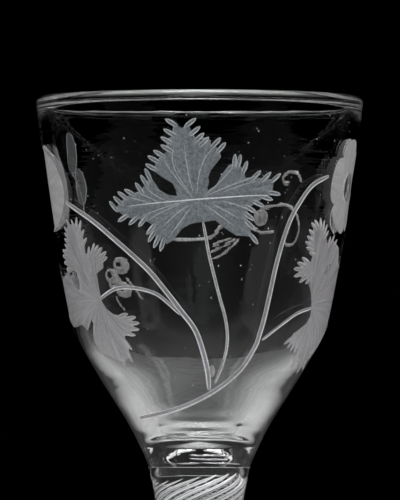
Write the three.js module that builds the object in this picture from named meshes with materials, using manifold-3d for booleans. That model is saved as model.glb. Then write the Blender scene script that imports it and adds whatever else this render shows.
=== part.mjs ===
// A wine glass of the English kind of about 1750, made of three gathers of lead glass that were
// joined hot: a round-funnel bowl with a thick base, a stem with a multi-spiral air twist, and a
// conical foot that still bears the mark of the pontil iron.
// Millimetres, +Z up. The origin is on the table, on the glass's axis, and the front faces -Y.
import * as THREE from "three";
import { mergeVertices } from "three/addons/utils/BufferGeometryUtils.js";
import Module from "manifold-3d";

const wasm = await Module();
wasm.setup();

// Heights of the three pieces, which stand on each other.
const FOOT_HEIGHT = 15;
const STEM_LENGTH = 72;
const BOWL_HEIGHT = 68;

// Bowl, outside. Its heights are above the joint with the stem, whose diameter both pieces share.
const JOINT_DIAMETER = 18.7;
const CONE_FOOT_HEIGHT = 3;
const CONE_FOOT_DIAMETER = 21.1;
const CONE_MIDDLE_HEIGHT = 8.6;
const CONE_MIDDLE_DIAMETER = 27;
const CONE_TOP_HEIGHT = 17.6;
const CONE_TOP_DIAMETER = 38.4;
const SHOULDER_HEIGHT = 24.2;
const SHOULDER_DIAMETER = 45.6;
const BELLY_HEIGHT = 31;
const BELLY_DIAMETER = 49.2;
const SIDE_HEIGHT = 46;
const SIDE_DIAMETER = 54.3;
const RIM_DIAMETER = 60;

// Bowl, inside. The walls are measured across, at the heights above.
const FLOOR_THICKNESS = 6.4;
const FLOOR_FLAT_DIAMETER = 12;
const FLOOR_DISH = 0.25;
const CONE_MIDDLE_WALL = 5;
const CONE_TOP_WALL = 3.25;
const SHOULDER_WALL = 2.55;
const BELLY_WALL = 2.35;
const SIDE_WALL = 2.2;
const NECK_OF_BEAD_DEPTH = 5.5;
const NECK_OF_BEAD_WALL = 2.2;

// The fire-polished lip is a round bead, a little thicker than the wall below it.
const LIP_WALL = 2.8;
const LIP_ROUND_OUTSIDE = 1.4;
const LIP_ROUND_INSIDE = 1.4;

// Stem. Depths are below the joint with the bowl, and heights above the joint with the foot.
const NECK_DEPTH = 6.4;
const NECK_DIAMETER = 16.1;
const TAPER_DEPTH = 17;
const TAPER_DIAMETER = 14.3;
const WAIST_HEIGHT = 30;
const WAIST_DIAMETER = 12.4;
const ANKLE_HEIGHT = 9;
const ANKLE_DIAMETER = 13.4;
const FOOT_JOINT_DIAMETER = 17;

// Air twist: threads of air that were drawn out and twisted together with the glass round them.
// Their sizes are the ones at the neck, and they follow the stem's thickness from there.
const THREAD_COUNT = 16;
const THREAD_COVER = 1.25;
const THREAD_WIDTH = 1.55;
const THREAD_DEPTH = 0.8;
const THREAD_PITCH = 22;

// Near the bowl the threads close in towards the axis, to this share of their circle.
const GATHER_LENGTH = 5;
const GATHER_SHARE = 0.62;

// Foot. Its heights are above the table.
const FOOT_DIAMETER = 72;
const FOOT_EDGE_THICKNESS = 2.6;
const WEAR_RING_WIDTH = 2.4;
const FOOT_SLOPE_DIAMETER = 44;
const FOOT_SLOPE_HEIGHT = 5.4;
const FOOT_RISE_DIAMETER = 24;
const FOOT_RISE_HEIGHT = 9.4;
const KICK_HEIGHT = 6.8;
const KICK_FLAT_DIAMETER = 14;

// Pontil mark: the broken ring of glass that the iron left in the middle of the kick.
const PONTIL_DIAMETER = 10.4;
const PONTIL_RING_DIAMETER = 7.4;
const PONTIL_DROP = 1.5;
const PONTIL_HOLLOW_DEPTH = 0.8;
const PONTIL_CHIP_DEPTH = 0.3;
const PONTIL_ROOT = 1; // how far the mark runs up into the foot's own glass

// Facets: round the axis, between two stations of an outline, and on a quarter of a lip or edge.
const TURN_FACETS = 48;
const OUTSIDE_SPAN_FACETS = 3;
const INSIDE_SPAN_FACETS = 2;
const ROUND_FACETS = 3;
const PONTIL_FACETS = 14;

// Facets of an air thread: round its section, and its turn in radians from one ring to the next.
const THREAD_FACETS = 5;
const THREAD_RING_TURN = 0.5;
const TWIST_SLICES = 600;
const THREAD_OVERRUN = 0.5; // the cutting solid runs past both ends of the stem

const GLASS_ROUGHNESS = 0.04;
const GLASS_OPACITY = 0.35;

const point = (radius, height) => new THREE.Vector2(radius, height);

// A smooth outline through its stations, as a list of points.
function smoothOutline(stations, facetsPerSpan) {
  const curve = new THREE.SplineCurve(stations);
  return curve.getPoints(facetsPerSpan * (stations.length - 1));
}

// A quarter of an ellipse between two of its quadrant points, as a list of points.
function quarterRound(centre, across, up, fromAngle, toAngle) {
  const arc = new THREE.EllipseCurve(centre.x, centre.y, across, up, fromAngle, toAngle);
  return arc.getPoints(ROUND_FACETS);
}

// An outline's radius at a height, on the line between the two points nearest in height.
function radiusAt(outline, height) {
  const after = outline.findIndex((p) => p.y >= height);
  if (after < 0) return outline[outline.length - 1].x;
  if (after === 0) return outline[0].x;
  const [low, high] = [outline[after - 1], outline[after]];
  return THREE.MathUtils.mapLinear(height, low.y, high.y, low.x, high.x);
}

// A solid of revolution about Z. Its profile leaves the axis at the bottom and returns to it.
function turned(profile, facets = TURN_FACETS) {
  return new THREE.LatheGeometry(profile, facets).rotateX(Math.PI / 2);
}

function solidOf(geometry) {
  const bare = geometry.clone();
  bare.deleteAttribute("normal");
  bare.deleteAttribute("uv");
  const merged = mergeVertices(bare, 1e-4);
  return new wasm.Manifold(
    new wasm.Mesh({
      numProp: 3,
      vertProperties: merged.attributes.position.array,
      triVerts: new Uint32Array(merged.index.array),
    }),
  );
}

function geometryOf(solid) {
  const mesh = solid.getMesh();
  const geometry = new THREE.BufferGeometry();
  geometry.setAttribute("position", new THREE.BufferAttribute(mesh.vertProperties, 3));
  geometry.setIndex(new THREE.BufferAttribute(mesh.triVerts, 1));
  geometry.computeVertexNormals();
  return geometry;
}

// The bowl's outside, from the joint up to where the lip begins to round over.
const bowlOutside = smoothOutline(
  [
    point(JOINT_DIAMETER / 2, 0),
    point(CONE_FOOT_DIAMETER / 2, CONE_FOOT_HEIGHT),
    point(CONE_MIDDLE_DIAMETER / 2, CONE_MIDDLE_HEIGHT),
    point(CONE_TOP_DIAMETER / 2, CONE_TOP_HEIGHT),
    point(SHOULDER_DIAMETER / 2, SHOULDER_HEIGHT),
    point(BELLY_DIAMETER / 2, BELLY_HEIGHT),
    point(SIDE_DIAMETER / 2, SIDE_HEIGHT),
    point(RIM_DIAMETER / 2, BOWL_HEIGHT - LIP_ROUND_OUTSIDE),
  ],
  OUTSIDE_SPAN_FACETS,
);

// The bowl's inside, from the lip down: the outside less the wall, which thickens to a solid base.
function bowlInside() {
  const within = (wall, height) => point(radiusAt(bowlOutside, height) - wall, height);
  return smoothOutline(
    [
      point(RIM_DIAMETER / 2 - LIP_WALL, BOWL_HEIGHT - LIP_ROUND_INSIDE),
      within(NECK_OF_BEAD_WALL, BOWL_HEIGHT - NECK_OF_BEAD_DEPTH),
      within(SIDE_WALL, SIDE_HEIGHT),
      within(BELLY_WALL, BELLY_HEIGHT),
      within(SHOULDER_WALL, SHOULDER_HEIGHT),
      within(CONE_TOP_WALL, CONE_TOP_HEIGHT),
      within(CONE_MIDDLE_WALL, CONE_MIDDLE_HEIGHT),
      point(FLOOR_FLAT_DIAMETER / 2, FLOOR_THICKNESS + FLOOR_DISH),
      point(0, FLOOR_THICKNESS),
    ],
    INSIDE_SPAN_FACETS,
  );
}

function makeBowl() {
  const crest = RIM_DIAMETER / 2 - LIP_ROUND_OUTSIDE;
  const lipOutside = quarterRound(
    point(crest, BOWL_HEIGHT - LIP_ROUND_OUTSIDE),
    LIP_ROUND_OUTSIDE,
    LIP_ROUND_OUTSIDE,
    0,
    Math.PI / 2,
  );
  const lipInside = quarterRound(
    point(crest, BOWL_HEIGHT - LIP_ROUND_INSIDE),
    LIP_WALL - LIP_ROUND_OUTSIDE,
    LIP_ROUND_INSIDE,
    Math.PI / 2,
    Math.PI,
  );
  return turned([
    point(0, 0),
    ...bowlOutside,
    ...lipOutside.slice(1),
    ...lipInside.slice(1),
    ...bowlInside().slice(1),
  ]);
}

// The stem's outside, from the joint with the foot up to the joint with the bowl.
const stemOutside = smoothOutline(
  [
    point(FOOT_JOINT_DIAMETER / 2, 0),
    point(ANKLE_DIAMETER / 2, ANKLE_HEIGHT),
    point(WAIST_DIAMETER / 2, WAIST_HEIGHT),
    point(TAPER_DIAMETER / 2, STEM_LENGTH - TAPER_DEPTH),
    point(NECK_DIAMETER / 2, STEM_LENGTH - NECK_DEPTH),
    point(JOINT_DIAMETER / 2, STEM_LENGTH),
  ],
  OUTSIDE_SPAN_FACETS,
);

// How thick the stem is at a height, as a share of the neck, where the twist's sizes are given.
const drawnSize = (height) => radiusAt(stemOutside, height) / (NECK_DIAMETER / 2);

// The levels of the twist and how far it has turned at each. Glass that is drawn thinner has its
// twist drawn longer too, so the twist's rate goes with the area of the stem's section.
function twistLevels() {
  const rate = (height) => ((2 * Math.PI) / THREAD_PITCH) * drawnSize(height) ** 2;
  const slice = (STEM_LENGTH + 2 * THREAD_OVERRUN) / TWIST_SLICES;
  const levels = [{ height: -THREAD_OVERRUN, turn: 0 }];
  let turn = 0;
  for (let i = 1; i <= TWIST_SLICES; i++) {
    const height = -THREAD_OVERRUN + i * slice;
    turn += rate(height - slice / 2) * slice;
    const sinceLast = turn - levels[levels.length - 1].turn;
    if (sinceLast >= THREAD_RING_TURN || i === TWIST_SLICES) levels.push({ height, turn });
  }
  return levels;
}

// The share of their full circle that the threads lie on, which falls towards the bowl.
function gathering(height) {
  const apart = THREE.MathUtils.smoothstep(STEM_LENGTH - height, 0, GATHER_LENGTH);
  return THREE.MathUtils.lerp(GATHER_SHARE, 1, apart);
}

// One air thread, as the solid to cut out: an oval section carried up the twist, level by level.
function airThread(levels, startTurn) {
  const fullCircle = NECK_DIAMETER / 2 - THREAD_COVER - THREAD_DEPTH / 2;
  const positions = [];
  for (const { height, turn } of levels) {
    const size = drawnSize(height);
    const gathered = gathering(height);
    const circle = fullCircle * size * gathered;
    for (let i = 0; i < THREAD_FACETS; i++) {
      const round = (i / THREAD_FACETS) * 2 * Math.PI;
      const radius = circle + (THREAD_DEPTH / 2) * size * Math.cos(round);
      const aside = (THREAD_WIDTH / 2) * size * gathered * Math.sin(round);
      const azimuth = startTurn + turn + aside / circle;
      positions.push(radius * Math.cos(azimuth), radius * Math.sin(azimuth), height);
    }
  }
  const index = [];
  const lastRing = (levels.length - 1) * THREAD_FACETS;
  for (let ring = 0; ring < lastRing; ring += THREAD_FACETS) {
    const above = ring + THREAD_FACETS;
    for (let i = 0; i < THREAD_FACETS; i++) {
      const next = (i + 1) % THREAD_FACETS;
      index.push(ring + i, ring + next, above + next);
      index.push(ring + i, above + next, above + i);
    }
  }
  for (let i = 1; i < THREAD_FACETS - 1; i++) {
    index.push(0, i + 1, i);
    index.push(lastRing, lastRing + i, lastRing + i + 1);
  }
  const geometry = new THREE.BufferGeometry();
  geometry.setAttribute("position", new THREE.Float32BufferAttribute(positions, 3));
  geometry.setIndex(index);
  return solidOf(geometry);
}

// The stem is a length of twisted cane: the threads run right through it, and the flat faces of
// the bowl and the foot close their ends.
function makeStem() {
  let stem = solidOf(turned([point(0, 0), ...stemOutside, point(0, STEM_LENGTH)]));
  const levels = twistLevels();
  for (let i = 0; i < THREAD_COUNT; i++) {
    stem = stem.subtract(airThread(levels, (i / THREAD_COUNT) * 2 * Math.PI));
  }
  return geometryOf(stem);
}

// The broken wad of glass in the kick: a low ring round a hollow, chipped unevenly round its edge.
function pontilMark() {
  const foundation = KICK_HEIGHT + PONTIL_ROOT;
  const crown = KICK_HEIGHT - PONTIL_DROP;
  const geometry = turned(
    [
      point(0, crown + PONTIL_HOLLOW_DEPTH),
      point(PONTIL_RING_DIAMETER / 2, crown),
      point(PONTIL_DIAMETER / 2, crown + PONTIL_DROP / 2),
      point(PONTIL_DIAMETER / 2, foundation),
      point(0, foundation),
    ],
    PONTIL_FACETS,
  );
  const position = geometry.attributes.position;
  for (let i = 0; i < position.count; i++) {
    const [x, y, z] = [position.getX(i), position.getY(i), position.getZ(i)];
    if (z > KICK_HEIGHT) continue;
    const chip = Math.sin(2.3 * x + 1.1 * y) * Math.cos(1.7 * y - 0.6 * x);
    position.setZ(i, z + PONTIL_CHIP_DEPTH * chip);
  }
  return solidOf(geometry);
}

// The foot: a cone with a rounded edge. Its underside is pushed up into a kick, so that only the
// ring just inside the edge touches the table.
function makeFoot() {
  const edgeRound = FOOT_EDGE_THICKNESS / 2;
  const ringOutside = FOOT_DIAMETER / 2 - edgeRound;
  const edgeCentre = point(ringOutside, edgeRound);
  const top = smoothOutline(
    [
      point(ringOutside, FOOT_EDGE_THICKNESS),
      point(FOOT_SLOPE_DIAMETER / 2, FOOT_SLOPE_HEIGHT),
      point(FOOT_RISE_DIAMETER / 2, FOOT_RISE_HEIGHT),
      point(FOOT_JOINT_DIAMETER / 2, FOOT_HEIGHT),
    ],
    OUTSIDE_SPAN_FACETS,
  );
  const cone = turned([
    point(0, KICK_HEIGHT),
    point(KICK_FLAT_DIAMETER / 2, KICK_HEIGHT),
    point(ringOutside - WEAR_RING_WIDTH, 0),
    ...quarterRound(edgeCentre, edgeRound, edgeRound, -Math.PI / 2, 0),
    ...quarterRound(edgeCentre, edgeRound, edgeRound, 0, Math.PI / 2).slice(1),
    ...top.slice(1),
    point(0, FOOT_HEIGHT),
  ]);
  return geometryOf(solidOf(cone).add(pontilMark()));
}

// One piece of glass, standing at its height on the axis.
function piece(name, geometry, height, tint) {
  const material = new THREE.MeshStandardMaterial({
    color: tint,
    roughness: GLASS_ROUGHNESS,
    metalness: 0,
    transparent: true,
    opacity: GLASS_OPACITY,
  });
  const mesh = new THREE.Mesh(geometry, material);
  mesh.name = name;
  mesh.position.z = height;
  return mesh;
}

const glass = new THREE.Group();
glass.add(piece("foot", makeFoot(), 0, 0xe4e8e8));
glass.add(piece("stem", makeStem(), FOOT_HEIGHT, 0xe8ecec));
glass.add(piece("bowl", makeBowl(), FOOT_HEIGHT + STEM_LENGTH, 0xe6eaea));

export default glass;
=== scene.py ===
import math
import random

import bpy
import numpy as np
from mathutils import Matrix, Vector
from mathutils.geometry import delaunay_2d_cdt


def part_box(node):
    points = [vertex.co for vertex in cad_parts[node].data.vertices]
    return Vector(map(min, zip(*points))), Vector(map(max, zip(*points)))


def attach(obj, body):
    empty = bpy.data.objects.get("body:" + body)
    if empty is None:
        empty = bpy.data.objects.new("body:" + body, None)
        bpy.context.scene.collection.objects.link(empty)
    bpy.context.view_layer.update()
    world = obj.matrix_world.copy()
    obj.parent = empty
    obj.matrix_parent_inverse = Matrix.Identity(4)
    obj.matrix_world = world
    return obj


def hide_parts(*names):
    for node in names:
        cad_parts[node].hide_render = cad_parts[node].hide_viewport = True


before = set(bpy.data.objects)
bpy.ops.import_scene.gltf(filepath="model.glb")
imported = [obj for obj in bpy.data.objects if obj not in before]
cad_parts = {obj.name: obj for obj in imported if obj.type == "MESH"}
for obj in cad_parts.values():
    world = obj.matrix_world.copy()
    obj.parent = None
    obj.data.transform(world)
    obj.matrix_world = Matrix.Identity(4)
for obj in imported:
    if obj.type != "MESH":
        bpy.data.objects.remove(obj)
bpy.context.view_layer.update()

# Sizes are in metres and angles in radians, except where a name or a comment says otherwise.
# Azimuth 0 is the front, -Y, and grows towards +X. A pixel is one of the 400 by 500 photograph.

MM = 0.001
DEGREE = math.pi / 180
TINY = 1e-18

# Sizes that come from the frame
bowl_low, bowl_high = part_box("bowl")
stem_low, stem_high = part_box("stem")
foot_low, foot_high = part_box("foot")
BOWL_HEIGHT = bowl_high.z - bowl_low.z
RIM_RADIUS = (bowl_high.x - bowl_low.x) / 2
STEM_LENGTH = stem_high.z - stem_low.z
FOOT_HEIGHT = foot_high.z - foot_low.z
FOOT_RADIUS = (foot_high.x - foot_low.x) / 2

# Camera: it is level with the foot of the bowl and looks up at the rim, as in the photograph.
PICTURE_WIDTH = 400
PICTURE_HEIGHT = 500
SENSOR_WIDTH_MM = 36
VIEW_LENS_MM = 549.6
VIEW_DISTANCE = 1.4
VIEW_ABOVE_RIM = -0.064
VIEW_ASIDE = 0.0001
VIEW_DOWN = -1.466 * DEGREE
VIEW_STEPS = 3000

# Floor: pale, crossed by bands of painted shade that show through the bowl's base
FLOOR_FRONT = 0.6
FLOOR_BACK = 0.8
FLOOR_HALF = 0.8
FLOOR_SHADE_BAND = (0.64, 0.64, 0.64)
FLOOR_PALE = (0.88, 0.88, 0.88)

# Glass
LEAD_GLASS_IOR = 1.57
AZIMUTH_STEPS = 180
SPAN_STEPS = 24
INSIDE_STEPS = 20
PATH_STEPS = 12
ROUND_STEPS = 10
GLASS_COLOUR = (0.97, 0.98, 0.98, 1)
ROUGH_COLOUR = (0.93, 0.94, 0.94, 1)

# What a face is, as the place of its material in the list of its piece
CLEAR, WELD = 0, 1
SHADED_LEAF, SATIN, PALE_MARK_AND_HIGHLIGHT, VEIN_AND_RIM_HIGHLIGHT, LIT_SATIN, STALK, FAINT, PAINTED_SHADE = range(2, 10)
THREAD = 2
SCAR, WORN = 2, 3

# Matt finishes, in the order of the kinds of cut: the dark and the pale colour, and the share of
# mottle among the streaks. The matt is what the wheel leaves, and the brightness is partly painted
# light: the middle leaf's finish is a darker, bluer copy of the satin, painted shade; the paler
# finishes paint highlights on tooth rims, stalk edges, petal outlines and lit petals, and also draw
# veins and specks of wear; the darkest one paints shade on the petals behind.
CUT_FINISHES = {
    "shaded_leaf_cut": ((0.105, 0.12, 0.13), (0.28, 0.305, 0.325), 0.6),
    "satin_cut": ((0.212, 0.206, 0.213), (0.41, 0.40, 0.414), 0.3),
    "pale_mark_and_highlight_cut": ((0.55, 0.57, 0.58), (0.90, 0.92, 0.93), 0.5),
    "vein_and_rim_highlight_cut": ((0.34, 0.36, 0.37), (0.62, 0.65, 0.66), 0.5),
    "lit_satin_cut": ((0.34, 0.332, 0.34), (0.52, 0.51, 0.52), 0.35),
    "stalk_cut": ((0.15, 0.145, 0.155), (0.32, 0.315, 0.33), 0.5),
    "faint_cut": ((0.14, 0.15, 0.15), (0.50, 0.49, 0.47), 0.8),
    "painted_shade_cut": ((0.04, 0.042, 0.045), (0.12, 0.12, 0.125), 0.5),
}

# Bowl outside: radius and height above the joint with the stem.
BOWL_OUTSIDE = [
    (0.00935, 0.0),
    (0.01055, 0.003),
    (0.0135, 0.0086),
    (0.0192, 0.0176),
    (0.0228, 0.0242),
    (0.0246, 0.031),
    (0.02715, 0.046),
]
LIP_WALL = 0.0030
LIP_ROUND = 0.0014

# Bowl inside: wall and height above the joint, from the bead down, then the floor.
BOWL_WALLS = [
    (0.0020, 0.064),
    (0.0022, 0.046),
    (0.00235, 0.031),
    (0.00255, 0.0242),
    (0.0030, 0.019),
    (0.0042, 0.013),
    (0.0050, 0.0086),
]
FLOOR_FLAT_RADIUS = 0.006
FLOOR_THICKNESS = 0.0067
FLOOR_DOME = 0.0006

# Flat folds of air that were caught in the bowl's base when it was joined to the stem
FOLD_SEED = 4
FOLD_COUNT = 12
FOLD_LOW = 0.0007
FOLD_STEP = 0.0003
FOLD_SPREAD = 0.0026
FOLD_ROWS = (-0.0024, 0.0, 0.0024)
FOLD_HALF_WIDTHS = (0.0009, 0.0023)
FOLD_ROUNDNESS = 0.5
FOLD_HALF_HEIGHT = 0.00016
FOLD_LEAN = 7 * DEGREE
FOLD_SIDES = 24
FOLD_RINGS = 10
FOLD_POLE = 0.02

# Stem: radius and height above the joint with the foot.
STEM_OUTSIDE = [
    (0.0085, 0.0),
    (0.0067, 0.009),
    (0.0062, 0.030),
    (0.00715, 0.055),
    (0.00805, 0.0656),
    (0.00935, 0.072),
]

# Air twist, with the sizes that it has at the neck of the stem.
THREAD_COUNT = 16
NECK_RADIUS = 0.00805
THREAD_CIRCLE = 0.0064
THREAD_WIDTH = 0.0019
THREAD_DEPTH = 0.0007
THREAD_FLUTES = 5
THREAD_FLUTE_DEPTH = 0.00007
THREAD_TAPER = 0.0014
THREAD_TAPER_POWER = 0.7
THREAD_TIP = 0.06
THREAD_PITCH = 0.022
GATHER_LENGTH = 0.005
GATHER_SHARE = 0.62
THREAD_SIDES = 28
THREAD_RINGS = 150
TWIST_LEVELS = 1000
THREAD_BOTTOM = 0.0006
THREAD_TOP_GAP = 0.0004
THREAD_TOP_DROP = 0.002
THREAD_TOP_TURN = 60 * DEGREE
# The air threads' white is painted reflection, in pale streaks with dark streaks of painted shade
# between them; each thread's streaks are shifted.
STREAK_SHIFT = 3
THREAD_SHADE_STREAK = (0.12, 0.12, 0.13)
THREAD_REFLECTION_STREAK = (0.95, 0.96, 0.97)

# Foot: radius and height above the table.
FOOT_TOP = [
    (0.0347, 0.0026),
    (0.022, 0.0054),
    (0.012, 0.0094),
    (0.0085, 0.015),
]
FOOT_EDGE_ROUND = 0.0013
WEAR_RING_INSIDE = 0.0323
KICK_HEIGHT = 0.0068
KICK_FLAT_RADIUS = 0.007
KICK_STEPS = 14
KICK_SPAN = (0.01, 0.99)
CORNER = 0.0002

# Scar of the pontil iron, in the middle of the kick: radius and height above the table.
SCAR_OUTLINE = [
    (0.0, 0.0061),
    (0.0018, 0.0059),
    (0.0037, 0.0053),
    (0.0048, 0.0057),
    (0.0052, 0.0063),
    (0.0054, 0.0068),
]
SCAR_STEPS = 5
SCAR_CHIP = 0.0003
SCAR_WAVES = ((2300, 1100), (-600, 1700))

# Engraving: widths, lengths and depths are in millimetres on the glass. The fullness of a stroke says
# how blunt its ends are, and a hollow or a rim within a tooth or a stalk is a share of it. The pale
# rim round such a hollow is painted highlight.
ENGRAVED_LOW = 5.5
ENGRAVED_HIGH = 66
SEAM_AZIMUTH = 112 * DEGREE
PATCH_DEPTH = 0.12
PATCH_GRID = 0.36
PATCH_MARGIN = 0.13
ROW_SHARE = 0.87
OUTLINE_STEP = 0.4
STREAKS_AROUND = 8
STROKE_REACH = 0.985
STROKE_END = 0.12
OLIVE = 2
FULL = 4
ROUND_ENDED = 16
BLOB_SIDES = 22
HOLLOW_SIDES = 12
BLOB_STATIONS = np.linspace(-0.9, 0.9, 9)
TOOTH_LENGTH = 2.7
TOOTH_WIDTH = 0.82
TOOTH_HOLLOW = 0.5
TOOTH_RIM = 0.07
TOOTH_DEPTH = 0.26
TOOTH_FREE = 0.66
TOOTH_HELD = 0.42
MIDRIB_WIDTH = 0.26
VEIN_WIDTH = 0.19
VEIN_DEPTH = 0.2
VEIN_STEP = 0.7
STALK_WIDTH = 0.95
BRANCH_WIDTH = 0.66
MIDDLE_STALK_WIDTH = 0.55
STALK_DEPTH = 0.3
STALK_HOLLOW = 0.62
TWIG_WIDTH = 0.7
TENDRIL_WIDTH = 0.6
THIN_WIDTH = 0.5
PETAL_LINE_WIDTH = 0.42
BUD_WIDTH = 1.0
BUD_DEPTH = 0.25
PETAL_DEPTH = 0.3
PETAL_RIM = 0.7
BEHIND_DEPTH = 0.1
GRAPE_DEPTH = 0.35
GRAPE_WIDE = 1.35
GRAPE_HOLLOW = 0.5
BACK_GRAPE_RADIUS = 1.45
BACK_GRAPE_HOLLOW = 0.4
FRUIT_RADIUS = 1.6
FRUIT_DEPTH = 0.3
PIT_SEED = 7
PIT_COUNT = 220
PIT_LOW = 12
PIT_HIGH = 65.5
PIT_USUAL = 57.5
PIT_SMALL = 0.05
PIT_LARGE = 0.13
PIT_DEPTH = 0.02
PIT_SIDES = 7

# Rose: degrees round the bowl, millimetres above its joint, and parts as shares of its radius.
ROSE_PLACE = (77, 51.0)
ROSE_RADIUS = 8.7
ROSE_TURN = 2.976
ROSE_PETALS = 5
ROSE_START = 0.1
ROSE_HOLLOW = 0.31
ROSE_EYE = 0.08


# Curves and turned shapes

def smooth_outline(stations, steps=SPAN_STEPS):
    """A Catmull-Rom curve through the stations."""
    last = len(stations) - 1
    points = []
    for span in range(last):
        near = [max(span - 1, 0), span, span + 1, min(span + 2, last)]
        a, b, c, d = (np.array(stations[i]) for i in near)
        v0 = (c - a) / 2
        v1 = (d - b) / 2
        for step in range(steps):
            t = step / steps
            cubic = (2 * b - 2 * c + v0 + v1) * t**3
            square = (-3 * b + 3 * c - 2 * v0 - v1) * t**2
            points.append(tuple(cubic + square + v0 * t + b))
    points.append(tuple(stations[last]))
    return points


def headings(path):
    """The direction of a path at each of its points."""
    steps = np.gradient(np.array(path), axis=0)
    return steps / np.maximum(np.hypot(steps[:, 0], steps[:, 1]), TINY)[:, None]


def quarter_round(centre, across, up, start, end):
    """A quarter of an ellipse from angle start to angle end."""
    angles = np.linspace(start, end, ROUND_STEPS + 1)
    return [(centre[0] + across * math.cos(a), centre[1] + up * math.sin(a)) for a in angles]


def radius_at(outline, height):
    heights = [p[1] for p in outline]
    radii = [p[0] for p in outline]
    return float(np.interp(height, heights, radii))


def new_object(name, vertices, faces, materials, face_material, normals=None, grain=None):
    mesh = bpy.data.meshes.new(name)
    mesh.from_pydata([tuple(v) for v in vertices], [], [tuple(f) for f in faces])
    for material in materials:
        mesh.materials.append(material)
    mesh.polygons.foreach_set("material_index", np.array(face_material, dtype=np.int32))
    mesh.polygons.foreach_set("use_smooth", np.ones(len(faces), dtype=bool))
    mesh.update()
    if grain is not None:
        layer = mesh.attributes.new("grain", "FLOAT_VECTOR", "CORNER")
        layer.data.foreach_set("vector", np.array(grain, dtype=np.float32).ravel())
    if normals is not None:
        mesh.normals_split_custom_set(normals)
    made = bpy.data.objects.new(name, mesh)
    bpy.context.scene.collection.objects.link(made)
    return made


def turned_rings(profile, base):
    """The vertices of a turned surface, and for each point of its profile its ring of them."""
    vertices, rings = [], []
    for radius, height in profile:
        start = len(vertices)
        if radius < TINY:
            rings.append([start])
            vertices.append((0.0, 0.0, base + height))
            continue
        for k in range(AZIMUTH_STEPS):
            a = 2 * math.pi * k / AZIMUTH_STEPS
            vertices.append((radius * math.sin(a), -radius * math.cos(a), base + height))
        rings.append(list(range(start, start + AZIMUTH_STEPS)))
    return vertices, rings


def faces_between(low, high):
    """The faces between two rings, either of which may be a single point on the axis."""
    steps = max(len(low), len(high))
    if len(low) == 1:
        return [(low[0], high[(k + 1) % steps], high[k]) for k in range(steps)]
    if len(high) == 1:
        return [(low[k], low[(k + 1) % steps], high[0]) for k in range(steps)]
    return [(low[k], low[(k + 1) % steps], high[(k + 1) % steps], high[k]) for k in range(steps)]


def turned_faces(rings, weld_spans, left_out=()):
    """The faces between rings, apart from the spans that are left out, and what each face is."""
    faces, kinds = [], []
    for span in range(len(rings) - 1):
        if span in left_out:
            continue
        new_faces = faces_between(rings[span], rings[span + 1])
        faces += new_faces
        kinds += [WELD if span in weld_spans else CLEAR] * len(new_faces)
    return faces, kinds


def closed_tube(first, count, sides):
    """The faces of a tube with closed ends, whose rings of vertices begin at the first one."""
    rings = [range(first + i * sides, first + (i + 1) * sides) for i in range(count)]
    faces = []
    for low, high in zip(rings[:-1], rings[1:]):
        faces += faces_between(low, high)
    return faces + [tuple(reversed(rings[0])), tuple(rings[-1])]


# Sheet: the bowl's outside laid flat. Its first coordinate is the azimuth, and its second grows by
# the length along the glass over the radius, so that shapes keep their angles.

bowl_outside = smooth_outline(BOWL_OUTSIDE + [(RIM_RADIUS, BOWL_HEIGHT - LIP_ROUND)])
SHEET_RADII = np.array([p[0] for p in bowl_outside])
SHEET_HEIGHTS = np.array([p[1] for p in bowl_outside])
step_lengths = np.hypot(np.diff(SHEET_RADII), np.diff(SHEET_HEIGHTS))
middle_radii = (SHEET_RADII[1:] + SHEET_RADII[:-1]) / 2
SHEET_UP = np.concatenate([[0], np.cumsum(step_lengths / middle_radii)])
rise_radius = np.gradient(SHEET_RADII, SHEET_UP)
rise_height = np.gradient(SHEET_HEIGHTS, SHEET_UP)
rise_length = np.hypot(rise_radius, rise_height)
NORMAL_OUT = rise_height / rise_length
NORMAL_UP = -rise_radius / rise_length


def before_seam(azimuth):
    """The same azimuth in the turn that ends at the seam."""
    return azimuth - 2 * math.pi * math.ceil((azimuth - SEAM_AZIMUTH) / (2 * math.pi))


def around(azimuth_degrees, height_mm):
    """A place on the sheet, from degrees round the bowl and millimetres above its joint."""
    up = np.interp(height_mm * MM, SHEET_HEIGHTS, SHEET_UP)
    return np.array([before_seam(azimuth_degrees * DEGREE), up])


def seen(x, y, far=False):
    """The place on the sheet that the camera sees at a pixel, on the bowl's near or far side."""
    focal = VIEW_LENS_MM / SENSOR_WIDTH_MM * PICTURE_HEIGHT
    turn = Matrix.Rotation(math.pi / 2 - VIEW_DOWN, 3, "X")
    ray = turn @ Vector((x - PICTURE_WIDTH / 2, PICTURE_HEIGHT / 2 - y, -focal))
    depth = np.linspace(-RIM_RADIUS, RIM_RADIUS, VIEW_STEPS)
    along = (depth + VIEW_DISTANCE) / ray.y
    across = VIEW_ASIDE + ray.x * along
    height = BOWL_HEIGHT + VIEW_ABOVE_RIM + ray.z * along
    outside_by = np.hypot(across, depth) - np.interp(height, SHEET_HEIGHTS, SHEET_RADII)
    inside = np.flatnonzero(outside_by < 0)
    if len(inside) == 0:
        hit = int(np.argmin(outside_by))
    elif far:
        hit = inside[-1]
    else:
        hit = inside[0]
    azimuth = math.atan2(across[hit], -depth[hit])
    return np.array([before_seam(azimuth), np.interp(height[hit], SHEET_HEIGHTS, SHEET_UP)])


def seen_far(x, y):
    return seen(x, y, far=True)


def sheet_size(millimetres, place):
    """How long on the sheet a length in millimetres is at a place."""
    return millimetres * MM / np.interp(place[1], SHEET_UP, SHEET_RADII)


def even_path(points, step_mm):
    """A smooth path through places on the sheet, with a point about every step."""
    points = [np.array(p) for p in points]
    if len(points) > 2:
        points = [np.array(p) for p in smooth_outline(points, PATH_STEPS)]
    lengths = [0.0]
    for a, b in zip(points[:-1], points[1:]):
        lengths.append(lengths[-1] + float(np.hypot(*(b - a))) / sheet_size(1, (a + b) / 2))
    count = max(3, int(round(lengths[-1] / step_mm)))
    stations = np.linspace(0, lengths[-1], count + 1)
    table = np.array(points)
    return np.column_stack([np.interp(stations, lengths, table[:, i]) for i in range(2)])


# Cuts of the wheel

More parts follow.
